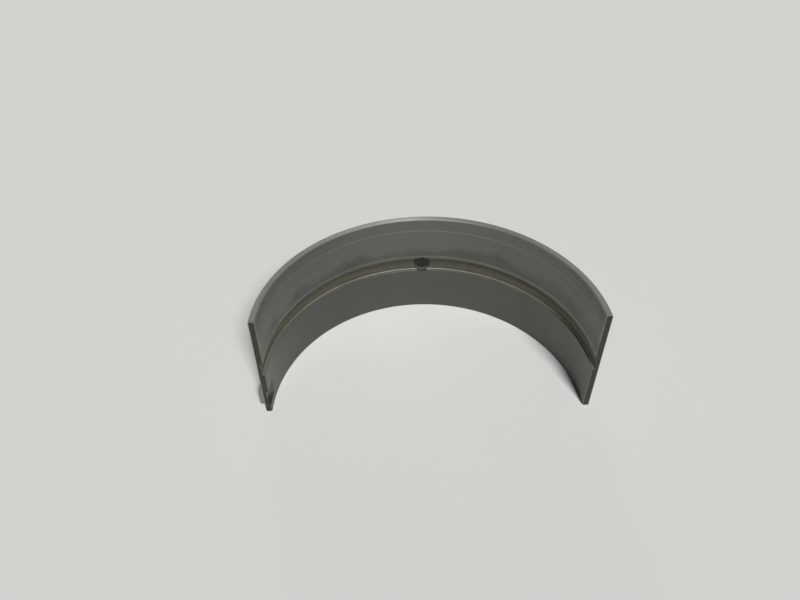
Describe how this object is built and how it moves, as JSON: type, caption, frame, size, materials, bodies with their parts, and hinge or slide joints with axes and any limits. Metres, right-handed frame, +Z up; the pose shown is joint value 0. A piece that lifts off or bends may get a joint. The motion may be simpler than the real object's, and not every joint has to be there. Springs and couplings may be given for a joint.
{
  "type": "engine bearing shell",
  "caption": "Thin half-round plain bearing shell with an oil groove round its lining, an oil hole at the crown and a locating lug pressed out of one end.",
  "frame": {"origin": "on the bearing axis, in the lower side face that the shell stands on", "axes": "+Z up along the bearing axis, +Y towards the crown, +X across the opening from the lug's end to the plain end"},
  "size_m": [0.1013, 0.05, 0.0375],
  "materials": {
    "bearing_metal": "satin grey bored lining on a plain steel back, with brighter machined side faces"
  },
  "bodies": {
    "root": {"bearing_shell": "bearing_metal"}
  },
  "joints": []
}
